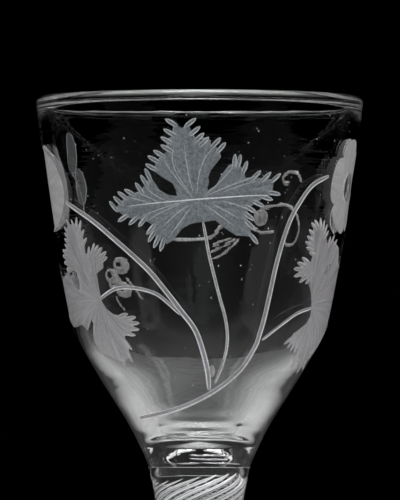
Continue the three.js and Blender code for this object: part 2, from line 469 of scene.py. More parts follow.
class Cut:
    """One cut of the wheel: its outline on the sheet, what it leaves, and how deep it goes."""

    def __init__(self, outline, kind, depth, spine=None, halves=None, heart=None):
        outline = np.array(outline)
        following = np.roll(outline, -1, axis=0)
        area = np.sum(outline[:, 0] * following[:, 1] - following[:, 0] * outline[:, 1])
        self.outline = outline if area > 0 else outline[::-1]
        self.kind = kind
        self.depth = depth
        self.spine = spine
        self.halves = halves
        self.heart = outline.mean(axis=0) if heart is None else heart

    def nearest(self, points):
        """For each point its nearest station of the spine, and how far it is across and along."""
        spine = self.spine
        gap = points[:, None, :] - spine[None, :, :]
        station = np.argmin((gap**2).sum(axis=2), axis=1)
        gap = points - spine[station]
        heading = headings(spine)[station]
        across = gap[:, 0] * heading[:, 1] - gap[:, 1] * heading[:, 0]
        along = gap[:, 0] * heading[:, 0] + gap[:, 1] * heading[:, 1]
        return station, across, along

    def depth_at(self, points):
        if self.spine is None:
            return np.full(len(points), self.depth)
        station, across, _ = self.nearest(points)
        half = self.halves[station]
        share = half / self.halves.max()
        return self.depth * share * np.clip(1 - (across / half) ** 2, 0, 1)

    def grain_at(self, points):
        """Millimetres across and along the strokes, for the streaks in the matt surface."""
        unit = sheet_size(1, self.outline.mean(axis=0))
        if self.spine is None:
            x, y = ((points - self.heart) / unit).T
            return np.column_stack([np.arctan2(y, x) * STREAKS_AROUND, np.hypot(x, y)])
        station, across, along = self.nearest(points)
        return np.column_stack([across / unit, station * OUTLINE_STEP + along / unit])


def stroke(path, width, depth, kind=SATIN, fullness=OLIVE, step=OUTLINE_STEP):
    """A cut along a path. Fullness 2 is an olive, and a high one a band with rounded ends."""
    spine = even_path(path, step)
    t = np.linspace(-STROKE_REACH, STROKE_REACH, len(spine))
    shape = (1 - np.abs(t) ** fullness) ** (1 / 2)
    halves = np.array([sheet_size(width / 2, p) for p in spine]) * np.maximum(shape, STROKE_END)
    heading = headings(spine)
    aside = np.column_stack([heading[:, 1], -heading[:, 0]]) * halves[:, None]
    outline = np.concatenate([spine + aside, (spine - aside)[::-1]])
    return Cut(outline, kind, depth, spine, halves)


def blob(place, radius, depth, kind=SATIN, wide=1.0, sides=BLOB_SIDES):
    """A round cut, hollow in its middle."""
    half = sheet_size(radius, place)
    angles = np.linspace(0, 2 * math.pi, sides, endpoint=False)
    outline = place + np.column_stack([np.cos(angles) * half * wide, np.sin(angles) * half])
    spine = np.array([place + (0, t * half) for t in BLOB_STATIONS])
    halves = half * wide * np.sqrt(1 - BLOB_STATIONS**2)
    return Cut(outline, kind, depth, spine, halves)


def teeth(tips, first_lean, last_lean, place=seen):
    """Teeth of a leaf as pairs of tip and root. A lean is the step from a tip towards its root."""
    pairs = []
    for i, tip in enumerate(tips):
        t = i / max(1, len(tips) - 1)
        lean = [a + (b - a) * t for a, b in zip(first_lean, last_lean)]
        start = place(*tip)
        inward = place(tip[0] + lean[0], tip[1] + lean[1]) - start
        inward = inward / np.hypot(*inward) * sheet_size(TOOTH_LENGTH, start)
        pairs.append((start, start + inward))
    return pairs


def edge(points, place=seen):
    """The part of a leaf's outline that has no teeth."""
    return [(place(*p), None) for p in points]


def places(place, points):
    return [place(*p) for p in points]


def leaf(kind, rim_highlight_kind, out_of_body, heart, runs, veins, slit=None):
    """A vine leaf: a matt body, teeth that reach out of it, veins, and a slit that stays clear."""
    body = []
    cuts = []
    for run in runs:
        for start, root in run:
            if root is None:
                body.append(start)
                continue
            body.append(start + (root - start) * out_of_body)
            # Each tooth is a pale rim of painted highlight round a hollow in the leaf's own finish.
            cuts.append(stroke([start, root], TOOTH_WIDTH, TOOTH_DEPTH, rim_highlight_kind))
            inner = start + (root - start) * TOOTH_RIM
            cuts.append(stroke([inner, root], TOOTH_WIDTH * TOOTH_HOLLOW, TOOTH_DEPTH, kind))
    outline = []
    for a, b in zip(body, body[1:] + body[:1]):
        pieces = max(1, int(np.hypot(*(b - a)) / sheet_size(OUTLINE_STEP, a)))
        outline += [a + (b - a) * i / pieces for i in range(pieces)]
    made = [Cut(outline, kind, PATCH_DEPTH, heart=seen(*heart))] + cuts
    if slit:
        made.append(Cut(places(seen, slit), CLEAR, 0))
    # Side leaves draw their midribs in the paler copy of their satin: painted highlight.
    vein_kind, midrib_kind = (VEIN_AND_RIM_HIGHLIGHT, PALE_MARK_AND_HIGHLIGHT) if kind == SHADED_LEAF else (SATIN, LIT_SATIN)
    midrib, *side_veins = [places(seen, vein) for vein in veins]
    for vein in side_veins:
        made.append(stroke(vein, VEIN_WIDTH, VEIN_DEPTH, vein_kind, step=VEIN_STEP))
    made.append(stroke(midrib, MIDRIB_WIDTH, VEIN_DEPTH, midrib_kind, step=VEIN_STEP))
    return made


# Engraved vine. Places that the photograph shows are given as its pixels, and the others as degrees
# round the bowl and millimetres above its joint.

LEAF_HEART = (196, 200)
TOP_LOBE_LEFT = [
    (145.4, 164.0), (147.6, 156.0), (153.3, 150.4), (160.6, 145.0), (160.6, 137.0), (163.4, 129.0),
    (165.1, 119.0),
]
TOP_LOBE_NOTCH = [(181.8, 128)]
TOP_LOBE_RIGHT = [
    (196, 118.3), (200.2, 126.6), (204.1, 133.1), (208.9, 137), (220.8, 137.7), (225.8, 142.5),
]
RIGHT_HOLLOW = [
    (221.2, 157.1), (210.9, 170.4), (207.2, 180.1), (207.8, 190.5), (216.3, 185.0), (221.2, 175.3),
    (229.0, 165.0),
]
SIDE_LOBE = [(235.3, 154), (240.8, 154.4), (247.5, 160.9)]
SIDE_LOBE_NOTCH = [(245.4, 177.7)]
RIGHT_LOBE_TOP = [(260.9, 170.6), (271.1, 172.2), (280.9, 173.5)]
RIGHT_LOBE = [
    (280.6, 194.5), (272.8, 199.9), (264.2, 206.4), (256.6, 212.9), (254.4, 220.5), (254.4, 229.2),
    (258.1, 244.0),
]
LOW_HOLLOW = [
    (236, 235.5), (223.6, 227.4), (215.1, 220.1), (205.4, 221.9), (196.9, 222.5), (189.7, 224.4),
    (182.4, 228.6), (172.7, 240.7), (167.0, 244.0),
]
BOTTOM_LOBE = [(160.1, 251.3), (153.6, 248), (148.2, 242.2), (146.6, 234.6)]
BOTTOM_LOBE_NOTCH = [(154, 226)]
LEFT_LOBE_LOW = [(138.4, 227), (128.7, 224.9), (117.8, 221.6)]
LEFT_LOBE = [(109.3, 201.3), (113.3, 196.5), (117.6, 191.8), (124.2, 189.3)]
UPPER_LEFT_LOBE = [(135.2, 182.6), (140.6, 175), (144.9, 168.5)]
LEFT_HOLLOW = [
    (152.1, 179), (159.4, 189.8), (167.9, 194.7), (177, 196), (176, 190.5), (172.7, 183.5),
    (161.8, 177), (154.5, 171.5),
]
CENTRE_VEINS = [
    [(126.7, 206.4), (150, 203.6), (175, 201.3), (196, 199.5), (222, 197.6), (247, 195.9), (271, 195.2)],
    [(186, 201.5), (163, 208), (139, 217.5)],
    [(180, 204), (160, 213), (146, 222)],
    [(188, 206), (176, 214), (162, 228)],
    [(190, 208), (180, 222), (168, 238)],
    [(192, 196.5), (181, 184), (170, 170), (163, 158)],
    [(193.5, 193), (189, 177), (186, 160), (184, 143)],
    [(197, 193), (199, 175), (205, 158), (214, 147)],
    [(190, 193), (178, 176), (172, 160), (174, 145)],
    [(204, 197), (222, 189), (243, 181), (262, 174)],
    [(204, 196), (218, 184), (230, 171), (239, 160)],
    [(223, 192), (240, 186), (256, 181)],
    [(222, 201), (240, 206), (254, 212)],
    [(209, 202), (224, 210), (240, 219)],
    [(204, 204), (218, 214), (234, 226)],
    [(170, 201.8), (156, 196), (146, 188)],
    [(160, 203), (147, 197), (136, 192)],
    [(150, 203.8), (137, 199.5), (127, 197)],
]

LEFT_HEART = (99, 300)
LEFT_TOP_RIGHT = [(76.6, 217), (80.9, 220.5), (84, 229.5), (86.8, 238)]
LEFT_SIDE_NOTCH = [(85.5, 254)]
LEFT_SIDE_LOBE = [(89, 246.5), (94.3, 243.2), (98.2, 245), (102, 247.5), (106.4, 251.6), (107.3, 257)]
LEFT_RIGHT_EDGE = [
    (103.4, 268.2), (96.8, 273.4), (99, 288), (101.9, 301.2), (106.3, 308.6), (113.6, 314.4),
    (120, 315.4),
]
LEFT_LOW_LOBE = [(128, 313.8), (136, 317), (139.4, 323), (139.3, 329.5), (135.6, 335.4)]
LEFT_LOW_NOTCH = [(124.5, 336.5)]
LEFT_LOW_TIPS = [(132, 350.2), (133, 363), (125.4, 368)]
LEFT_LOW_EDGE = [
    (118, 361.4), (110, 357.5), (103.4, 354), (97, 347.5), (94, 340), (93.2, 333.5), (93.4, 324),
    (91.6, 320), (89.6, 326), (88, 331),
]
LEFT_WRAP_LOW = [(-66, 26.0), (-72, 25.6), (-80, 25.6), (-88, 27.6), (-94, 28.0)]
LEFT_WRAP_TEETH = [(-97, 27.6), (-99.5, 29.2), (-101, 31), (-100.5, 33), (-98, 34.8), (-94.5, 35.8)]
LEFT_WRAP_HIGH = [(-89, 35), (-83, 34.4), (-77, 34.6), (-72.5, 35.4)]
LEFT_SLIT = [
    (69.8, 273.5), (73.5, 270.6), (77, 272.8), (79, 280.5), (80.2, 287.8), (78.8, 290.3), (75.2, 287),
    (72.6, 281),
]
LEFT_TOP_LEFT = [
    (66.5, 269.3), (64.2, 262.6), (62.9, 256), (62.6, 250.6), (64.6, 244.7), (64.4, 239), (64.4, 233),
    (63.9, 226.6), (66, 219.5), (71, 219.5),
]
LEFT_VEINS = [
    [(99, 300.5), (88, 300.8), (75, 303)],
    [(92, 298), (84, 275), (77, 245), (74, 228)],
    [(95, 296), (91, 278), (95, 260), (99, 252)],
    [(98, 303), (108, 316), (122, 325), (134, 328)],
    [(97, 305), (104, 322), (116, 342), (126, 356)],
    [(86, 301), (76, 310), (68, 324)],
]

RIGHT_HEART = (311, 306)
RIGHT_TOP_LEFT = [
    (309, 252.5), (306.3, 247.3), (305.3, 241.6), (307, 236), (308.9, 229.6), (311.4, 222.6),
    (314.5, 219.8),
]
RIGHT_TOP_RIGHT = [(320.6, 217.6), (324.6, 219.8), (327.4, 224), (328.8, 230.5)]
RIGHT_TOP_NOTCH = [(326.8, 243)]
RIGHT_SIDE_LOBE = [(330.6, 236), (334.6, 234.6), (337.4, 239.6)]
RIGHT_WRAP_HIGH = [(76, 40), (80, 37.4), (86, 36.6)]
RIGHT_WRAP_TEETH = [(95, 39), (100, 37.2), (103.2, 34.4), (104, 31.2), (102.5, 28.2), (98.5, 26)]
RIGHT_WRAP_LOW = [(91, 26), (84, 23.5), (80, 20.5)]
RIGHT_LOW_TIPS = [(316, 352), (309.5, 359), (302, 371), (296.4, 374)]
RIGHT_LOW_NOTCH = [(298.5, 353)]
RIGHT_LOW_LOBE = [(294.5, 352.5), (290, 351.5), (286.6, 348.5), (283.7, 344.4)]
RIGHT_LOW_EDGE = [(294, 333.2), (306.1, 323.7), (310.4, 316), (311.3, 302.2), (310.4, 286)]
RIGHT_SMALL_LOBE = [
    (305.5, 284), (299.2, 282.4), (294, 276.4), (293.8, 268.8), (297.3, 262.6), (302, 257.6),
]
RIGHT_SMALL_NOTCH = [(311, 262)]
RIGHT_SLIT = [(331.2, 263.3), (328.5, 264.5), (325.2, 270), (323.4, 274.8), (326.6, 274), (330, 269)]
RIGHT_VEINS = [
    [(311, 305), (320, 302), (330, 300)],
    [(313, 300), (314, 275), (317, 250), (320, 230)],
    [(316, 290), (322, 265), (331, 246)],
    [(312, 296), (308, 282), (300, 270)],
    [(312, 312), (304, 330), (294, 344)],
    [(314, 312), (310, 332), (303, 356)],
]

LEFT_STALK = [
    (66, 202), (90, 219), (115, 240), (145, 267), (164, 289), (181, 311), (195, 330), (203, 352),
    (208, 374), (209, 390),
]
LEFT_BRANCH = [(99, 300), (115, 289), (134, 288), (154, 293), (167, 302), (181, 315)]
MIDDLE_STALK = [
    (203, 222), (206, 238), (210, 259), (219, 295), (226, 322), (227, 345), (222, 366), (215, 383),
]
RIGHT_STALK = [
    (329, 176), (313, 185), (299, 204), (288, 226), (277, 262), (269, 298), (260, 333), (255, 347),
    (241, 369), (219, 388), (192, 403), (164, 413), (140, 418),
]
RIGHT_BRANCH = [(311, 308), (296, 314), (277, 328), (262, 340)]
BUD = [(212, 365), (212.5, 377)]
LEFT_PETAL = [
    (42, 146), (51, 159), (58, 172), (62.5, 184), (64.2, 195), (63.5, 206), (61, 217), (57.5, 226),
    (54, 232),
]
LEFT_PETAL_WRAP = [(-97, 44), (-103, 47), (-106, 51), (-103, 55), (-97, 58.2)]
LEFT_PETAL_HEART = (-104, 50)
BEHIND_PETALS = [
    ([(57.5, 134), (60.5, 155), (60, 178)], 4.6),
    ([(66, 172), (70.5, 190), (70, 208)], 4.2),
]
BEHIND_STALK = [(59, 176), (66, 186), (72, 204), (74, 222)]
LOWER_PETALS = [
    [(334, 206), (331, 214), (330.5, 225), (334, 234)],
    [(348, 141), (344.5, 147), (343, 155)],
]

# Vine on the far side, as it shows through the bowl
UPPER_TENDRIL = [
    (309.7, 186.9), (305.4, 178.2), (296.7, 175.6), (289.1, 180.4), (290.2, 186.9), (295.6, 186.9),
]
LOWER_TENDRIL = [
    (264, 210.8), (280, 208.6), (293.4, 208.2), (304.3, 217.3), (307.5, 232.4), (301, 246.5),
    (292.4, 246.5), (291.3, 236.8), (296, 234.6),
]
FAR_TWIG = [
    (168.8, 241.1), (190.5, 242.2), (212, 239), (223, 228), (240, 229), (255.5, 230.3), (266.3, 234.6),
    (279.4, 233.5),
]
FAR_FRUIT = (265, 220)
FAR_FAN = [
    [(209, 261), (222, 257), (242, 241)],
    [(211, 254), (224, 248), (238, 241)],
    [(213, 247), (224, 243), (234, 240)],
]
FAR_GRAPE_STEMS = [
    [(119.5, 279.2), (129, 290), (138.6, 302.7)],
    [(107.8, 298.3), (112, 307), (118, 314.4)],
]
BACK_GRAPES = [
    (172, 146), (188, 144), (204, 147), (180, 158), (196, 158), (211, 157), (184, 171), (199, 171),
    (189, 184), (202, 185), (194, 197), (199, 209),
]
BACK_HOLLOW_ASIDE = (-2.5, -2)
FAR_GRAPES = [(108, 286, 1.5), (114.4, 267.5, 1.6), (104, 278.5, 1.5), (117, 292.5, 1.6)]
FAR_HOLLOW_ASIDE = (-3, -1)


def centre_leaf():
    runs = [
        teeth(TOP_LOBE_LEFT, (0.87, 0.49), (0.86, 0.5)),
        edge(TOP_LOBE_NOTCH),
        teeth(TOP_LOBE_RIGHT, (-0.8, 0.6), (-0.66, 0.75)),
        edge(RIGHT_HOLLOW),
        teeth(SIDE_LOBE, (-0.1, 1), (-0.35, 0.95)),
        edge(SIDE_LOBE_NOTCH),
        teeth(RIGHT_LOBE_TOP, (-0.7, 0.7), (-0.75, 0.66)),
        teeth(RIGHT_LOBE, (-1, -0.2), (-0.6, -0.8)),
        edge(LOW_HOLLOW),
        teeth(BOTTOM_LOBE, (0.3, -0.95), (0.6, -0.8)),
        edge(BOTTOM_LOBE_NOTCH),
        teeth(LEFT_LOBE_LOW, (0.6, -0.8), (0.82, -0.55)),
        teeth(LEFT_LOBE, (0.62, 0.78), (0.85, 0.5)),
        teeth(UPPER_LEFT_LOBE, (0.55, 0.8), (0.45, 0.9)),
        edge(LEFT_HOLLOW),
    ]
    # The leaf that faces the camera takes the darker, bluer finish: painted shade.
    return leaf(SHADED_LEAF, VEIN_AND_RIM_HIGHLIGHT, TOOTH_FREE, LEAF_HEART, runs, CENTRE_VEINS)


def left_leaf():
    runs = [
        teeth(LEFT_TOP_RIGHT, (0, 1), (-0.5, 0.85)),
        edge(LEFT_SIDE_NOTCH),
        teeth(LEFT_SIDE_LOBE, (0, 1), (-0.85, 0.5)),
        edge(LEFT_RIGHT_EDGE),
        teeth(LEFT_LOW_LOBE, (-0.9, 0.3), (-0.9, -0.2)),
        edge(LEFT_LOW_NOTCH),
        teeth(LEFT_LOW_TIPS, (-0.6, -0.8), (-0.2, -1)),
        edge(LEFT_LOW_EDGE),
        edge(LEFT_WRAP_LOW, around),
        teeth(LEFT_WRAP_TEETH, (1, 0.3), (1.4, -0.7), around),
        edge(LEFT_WRAP_HIGH, around),
        teeth(LEFT_TOP_LEFT, (0.9, 0.1), (0.4, 0.9)),
    ]
    return leaf(SATIN, LIT_SATIN, TOOTH_HELD, LEFT_HEART, runs, LEFT_VEINS, LEFT_SLIT)


def right_leaf():
    runs = [
        teeth(RIGHT_TOP_LEFT, (0.9, 0.3), (0.5, 0.85)),
        teeth(RIGHT_TOP_RIGHT, (0, 1), (-0.5, 0.85)),
        edge(RIGHT_TOP_NOTCH),
        teeth(RIGHT_SIDE_LOBE, (-0.2, 1), (-0.5, 0.8)),
        edge(RIGHT_WRAP_HIGH, around),
        teeth(RIGHT_WRAP_TEETH, (-1.4, -0.7), (-1, 0.5), around),
        edge(RIGHT_WRAP_LOW, around),
        teeth(RIGHT_LOW_TIPS, (0.1, -1), (0.5, -0.85)),
        edge(RIGHT_LOW_NOTCH),
        teeth(RIGHT_LOW_LOBE, (0.3, -1), (0.8, -0.6)),
        edge(RIGHT_LOW_EDGE),
        teeth(RIGHT_SMALL_LOBE, (0.6, -0.8), (0.8, 0.6)),
        edge(RIGHT_SMALL_NOTCH),
    ]
    return leaf(SATIN, LIT_SATIN, TOOTH_HELD, RIGHT_HEART, runs, RIGHT_VEINS, RIGHT_SLIT)


def rose():
    """A rose seen from above: petals in painted highlight round a clear hollow with a small eye."""
    centre = around(*ROSE_PLACE)
    reach = sheet_size(ROSE_RADIUS, centre)
    cuts = []
    for i in range(ROSE_PETALS):
        a = ROSE_TURN + i * 2 * math.pi / ROSE_PETALS
        out = np.array([math.cos(a), math.sin(a)]) * reach
        petal = [centre + out * ROSE_START, centre + out]
        cuts.append(stroke(petal, ROSE_RADIUS, PETAL_DEPTH, LIT_SATIN, FULL))
    cuts.append(blob(centre, ROSE_RADIUS * ROSE_HOLLOW, 0, CLEAR))
    cuts.append(blob(centre, ROSE_RADIUS * ROSE_EYE, PETAL_DEPTH))
    return cuts


def stalk(place, points, width, kind=STALK):
    return stroke(places(place, points), width, STALK_DEPTH, kind, ROUND_ENDED)


def highlighted_stalk(points, width, kind=STALK):
    """A stalk with pale lines of painted highlight along its edges, round a darker middle."""
    return [stalk(seen, points, width, PALE_MARK_AND_HIGHLIGHT), stalk(seen, points, width * STALK_HOLLOW, kind)]


def folded_petal():
    """The broad petal on the left in painted highlight, with the outlines of the petals behind it."""
    outline = even_path(places(seen, LEFT_PETAL) + places(around, LEFT_PETAL_WRAP), OUTLINE_STEP)
    cuts = [Cut(outline, LIT_SATIN, PETAL_DEPTH, heart=around(*LEFT_PETAL_HEART))]
    for line, width in BEHIND_PETALS:
        # The petals behind: pale outlines of painted highlight round painted shade.
        path = places(seen_far, line)
        cuts.append(stroke(path, width, BEHIND_DEPTH, VEIN_AND_RIM_HIGHLIGHT))
        cuts.append(stroke(path, width - PETAL_RIM, BEHIND_DEPTH, PAINTED_SHADE))
    cuts.append(stalk(seen_far, BEHIND_STALK, THIN_WIDTH, FAINT))
    for line in LOWER_PETALS:
        cuts.append(stalk(seen, line, PETAL_LINE_WIDTH, FAINT))
    return cuts


def grape(x, y, radius, hollow, aside, kind=SATIN, wide=1.0):
    """A grape on the far side, with a small clear hollow this many pixels to its side."""
    hollow_place = seen_far(x + aside[0], y + aside[1])
    whole = blob(seen_far(x, y), radius, GRAPE_DEPTH, kind, wide)
    return [whole, blob(hollow_place, hollow, 0, CLEAR, wide, HOLLOW_SIDES)]


def far_side():
    cuts = []
    for tendril in (UPPER_TENDRIL, LOWER_TENDRIL):
        cuts.append(stalk(seen_far, tendril, TENDRIL_WIDTH, FAINT))
    cuts.append(stalk(seen_far, FAR_TWIG, TWIG_WIDTH, FAINT))
    for line in FAR_FAN + FAR_GRAPE_STEMS:
        cuts.append(stalk(seen_far, line, THIN_WIDTH, FAINT))
    for x, y, radius in FAR_GRAPES:
        cuts += grape(x, y, radius, GRAPE_HOLLOW, FAR_HOLLOW_ASIDE, FAINT, GRAPE_WIDE)
    cuts.append(blob(seen_far(*FAR_FRUIT), FRUIT_RADIUS, FRUIT_DEPTH, FAINT))
    return cuts


def grape_bunch():
    """The bunch on the back, which the large leaf hides from the front."""
    cuts = []
    for x, y in BACK_GRAPES:
        cuts += grape(x, y, BACK_GRAPE_RADIUS, BACK_GRAPE_HOLLOW, BACK_HOLLOW_ASIDE)
    return cuts


def pits():
    """Specks of wear on the polished glass, most of them near the rim."""
    draw = random.Random(PIT_SEED)
    cuts = []
    for _ in range(PIT_COUNT):
        azimuth = draw.uniform(-180, 180)
        height = draw.triangular(PIT_LOW, PIT_HIGH, PIT_USUAL)
        radius = draw.uniform(PIT_SMALL, PIT_LARGE)
        cuts.append(blob(around(azimuth, height), radius, PIT_DEPTH, PALE_MARK_AND_HIGHLIGHT, sides=PIT_SIDES))
    return cuts


def engraving():
    cuts = pits() + grape_bunch() + far_side()
    cuts += highlighted_stalk(LEFT_BRANCH, BRANCH_WIDTH)
    cuts += highlighted_stalk(LEFT_STALK, STALK_WIDTH)
    cuts += highlighted_stalk(RIGHT_BRANCH, BRANCH_WIDTH)
    cuts += highlighted_stalk(MIDDLE_STALK, MIDDLE_STALK_WIDTH, FAINT)
    cuts += highlighted_stalk(RIGHT_STALK, STALK_WIDTH)
    cuts.append(stroke(places(seen, BUD), BUD_WIDTH, BUD_DEPTH))
    return cuts + centre_leaf() + left_leaf() + right_leaf() + folded_petal() + rose()


# Bowl

def inside_of(outline, points):
    """Which points lie inside a closed outline, and each point's distance from it."""
    a = outline
    b = np.roll(outline, -1, axis=0)
    x, y = points[:, 0:1], points[:, 1:2]
    spans = (a[:, 1] > y) != (b[:, 1] > y)
    rise = np.where(b[:, 1] == a[:, 1], 1, b[:, 1] - a[:, 1])
    crossing = a[:, 0] + (y - a[:, 1]) / rise * (b[:, 0] - a[:, 0])
    inside = (spans & (x < crossing)).sum(axis=1) % 2 == 1
    side = b - a
    length = np.maximum((side**2).sum(axis=1), TINY)
    share = np.clip(((x - a[:, 0]) * side[:, 0] + (y - a[:, 1]) * side[:, 1]) / length, 0, 1)
    away = np.hypot(x - a[:, 0] - share * side[:, 0], y - a[:, 1] - share * side[:, 1])
    return inside, away.min(axis=1)


def points_within(cut):
    """A triangular grid of points inside a cut, clear of its outline."""
    middle = cut.outline.mean(axis=0)
    step = sheet_size(PATCH_GRID, middle)
    low = cut.outline.min(axis=0)
    high = cut.outline.max(axis=0)
    if min(high - low) < 2 * step:
        return []
    rows = []
    for j, up in enumerate(np.arange(low[1], high[1], step * ROW_SHARE)):
        across = np.arange(low[0] + step / 2 * (j % 2), high[0], step)
        rows.append(np.column_stack([across, np.full(len(across), up)]))
    grid = np.concatenate(rows)
    inside, away = inside_of(cut.outline, grid)
    return list(grid[inside & (away > sheet_size(PATCH_MARGIN, middle))])


class Band:
    """The engraved part of the bowl's outside, as triangles between two rings of its vertices."""

    SCALE = 1000
    MERGED_BELOW = 1e-4

    def __init__(self, vertices, low, high, low_up, high_up):
        self.vertices = vertices
        self.points = []
        self.edges = []
        self.polygons = []
        self.known = {}
        self.low_up = low_up
        self.high_up = high_up
        self.lay_border(low, high)

    def place(self, point, depth=0.0):
        """The place in space of a point of the sheet, sunk by a depth in millimetres."""
        radius = np.interp(point[1], SHEET_UP, SHEET_RADII)
        height = np.interp(point[1], SHEET_UP, SHEET_HEIGHTS)
        radius -= np.interp(point[1], SHEET_UP, NORMAL_OUT) * depth * MM
        height -= np.interp(point[1], SHEET_UP, NORMAL_UP) * depth * MM
        return (radius * math.sin(point[0]), -radius * math.cos(point[0]), bowl_low.z + height)

    def add(self, point, vertex=None):
        self.points.append(point)
        if vertex is not None:
            self.known[len(self.points) - 1] = vertex
        return len(self.points) - 1

    def lay_border(self, low, high):
        """The two rings and the seam, and the plain grid between them."""
        steps = AZIMUTH_STEPS
        first = round(SEAM_AZIMUTH / (2 * math.pi) * steps)
        azimuths = [2 * math.pi * (first + k - steps) / steps for k in range(steps + 1)]
        rows = max(2, round((self.high_up - self.low_up) / (2 * math.pi / steps)))
        ups = np.linspace(self.low_up, self.high_up, rows + 1)
        bottom = [self.add((azimuths[k], ups[0]), low[(first + k) % steps]) for k in range(steps + 1)]
        top = [self.add((azimuths[k], ups[-1]), high[(first + k) % steps]) for k in range(steps + 1)]
        left, right = [bottom[0]], [bottom[-1]]
        for up in ups[1:-1]:
            self.vertices.append(self.place((azimuths[0], up)))
            left.append(self.add((azimuths[0], up), len(self.vertices) - 1))
            right.append(self.add((azimuths[-1], up), len(self.vertices) - 1))
        left.append(top[0])
        right.append(top[-1])
        for line in (bottom, top, left, right):
            self.edges += list(zip(line[:-1], line[1:]))
        for j, up in enumerate(ups[1:-1]):
            shift = math.pi / steps * (j % 2)
            for azimuth in azimuths[1:-1]:
                self.add((azimuth + shift, up))

    def add_cut(self, cut):
        ids = [self.add(tuple(p)) for p in cut.outline]
        self.polygons.append(ids)
        if cut.spine is not None:
            spine = [self.add(tuple(p)) for p in cut.spine]
            self.edges += list(zip(spine[:-1], spine[1:]))
        for point in points_within(cut):
            self.add(tuple(point))

    def triangles(self, cuts):
        """The sheet points with the vertex of each, the band's faces as corners of them, and their cuts.
        """
        flat = [Vector((p[0] * self.SCALE, p[1] * self.SCALE)) for p in self.points]
        result = delaunay_2d_cdt(flat, self.edges, self.polygons, 0, self.MERGED_BELOW)
        flat, faces, from_points, over = result[0], result[2], result[3], result[5]
        sheet = np.array([(p.x, p.y) for p in flat]) / self.SCALE
        corners = np.array(faces)
        a, b, c = (sheet[corners[:, i]] for i in range(3))
        area = (b[:, 0] - a[:, 0]) * (c[:, 1] - a[:, 1]) - (b[:, 1] - a[:, 1]) * (c[:, 0] - a[:, 0])
        if area.sum() < 0:
            corners = corners[:, ::-1]
        depth = self.depths(sheet, corners, over, cuts)
        index = []
        for i, sources in enumerate(from_points):
            known = [self.known[s] for s in sources if s in self.known]
            if known:
                index.append(known[0])
                continue
            self.vertices.append(self.place(sheet[i], depth[i]))
            index.append(len(self.vertices) - 1)
        return sheet, corners, np.array(index), over

    def depths(self, sheet, corners, over, cuts):
        around_vertex = np.bincount(corners.ravel(), minlength=len(sheet))
        faces_of = [[] for _ in cuts]
        for face, covering in enumerate(over):
            for cut in covering:
                faces_of[cut].append(face)
        depth = np.zeros(len(sheet))
        for cut, its_faces in zip(cuts, faces_of):
            if not its_faces:
                continue
            touched, count = np.unique(corners[its_faces].ravel(), return_counts=True)
            within = touched[count == around_vertex[touched]]
            if cut.kind == CLEAR:
                depth[touched] = 0
            elif len(within):
                depth[within] = np.maximum(depth[within], cut.depth_at(sheet[within]))
        return depth


def turned_normals(profile, rings, vertices):
    """The normal of a turned surface at each of its vertices."""
    normals = {}
    for ring, (along, rise) in zip(rings, headings(profile)):
        for vertex in ring:
            x, y = vertices[vertex][:2]
            share = rise / max(math.hypot(x, y), TINY)
            normals[vertex] = (share * x, share * y, -along)
    return normals


def bowl_profile():
    """The bowl's outline from the middle of the joint, up outside and down inside, to the floor."""
    lip = (RIM_RADIUS - LIP_ROUND, BOWL_HEIGHT - LIP_ROUND)
    lip_outside = quarter_round(lip, LIP_ROUND, LIP_ROUND, 0, math.pi / 2)
    lip_inside = quarter_round(lip, LIP_WALL - LIP_ROUND, LIP_ROUND, math.pi / 2, math.pi)
    stations = [(RIM_RADIUS - LIP_WALL, BOWL_HEIGHT - LIP_ROUND)]
    for wall, height in BOWL_WALLS:
        stations.append((radius_at(bowl_outside, height) - wall, height))
    stations.append((FLOOR_FLAT_RADIUS, FLOOR_THICKNESS - FLOOR_DOME))
    stations.append((0.0, FLOOR_THICKNESS))
    inside = smooth_outline(stations, INSIDE_STEPS)
    return [(0.0, 0.0)] + bowl_outside + lip_outside[1:] + lip_inside[1:] + inside[1:]


def add_fold(vertices, normals, centre, half_width, lean):
    """A closed flat bubble, as its faces. Its normals point out of the glass, into the air."""
    first = len(vertices)
    sizes = np.array([half_width, half_width * FOLD_ROUNDNESS, FOLD_HALF_HEIGHT])
    tilt = np.array(Matrix.Rotation(lean, 3, "Y"))
    for i in range(FOLD_RINGS + 1):
        polar = math.pi * (i + FOLD_POLE) / (FOLD_RINGS + 2 * FOLD_POLE)
        for k in range(FOLD_SIDES):
            a = 2 * math.pi * k / FOLD_SIDES
            level = math.sin(polar)
            unit = np.array([level * math.cos(a), level * math.sin(a), math.cos(polar)])
            outward = tilt @ (unit / sizes)
            normals[len(vertices)] = tuple(-outward / np.linalg.norm(outward))
            vertices.append(tuple(centre + tilt @ (unit * sizes)))
    return closed_tube(first, FOLD_RINGS + 1, FOLD_SIDES)


def add_folds(vertices, normals):
    draw = random.Random(FOLD_SEED)
    faces = []
    for i in range(FOLD_COUNT):
        x = draw.uniform(-FOLD_SPREAD, FOLD_SPREAD)
        y = FOLD_ROWS[i % len(FOLD_ROWS)]
        centre = np.array([x, y, bowl_low.z + FOLD_LOW + i * FOLD_STEP])
        half_width = draw.uniform(*FOLD_HALF_WIDTHS)
        lean = draw.uniform(-FOLD_LEAN, FOLD_LEAN)
        faces += add_fold(vertices, normals, centre, half_width, lean)
    return faces


def sheet_normals(sheet, index):
    """The smooth outward normal of the bowl at each vertex of the engraved band."""
    azimuth = sheet[:, 0]
    out = np.interp(sheet[:, 1], SHEET_UP, NORMAL_OUT)
    up = np.interp(sheet[:, 1], SHEET_UP, NORMAL_UP)
    normals = np.column_stack([out * np.sin(azimuth), -out * np.cos(azimuth), up])
    return dict(zip(index.tolist(), normals.tolist()))


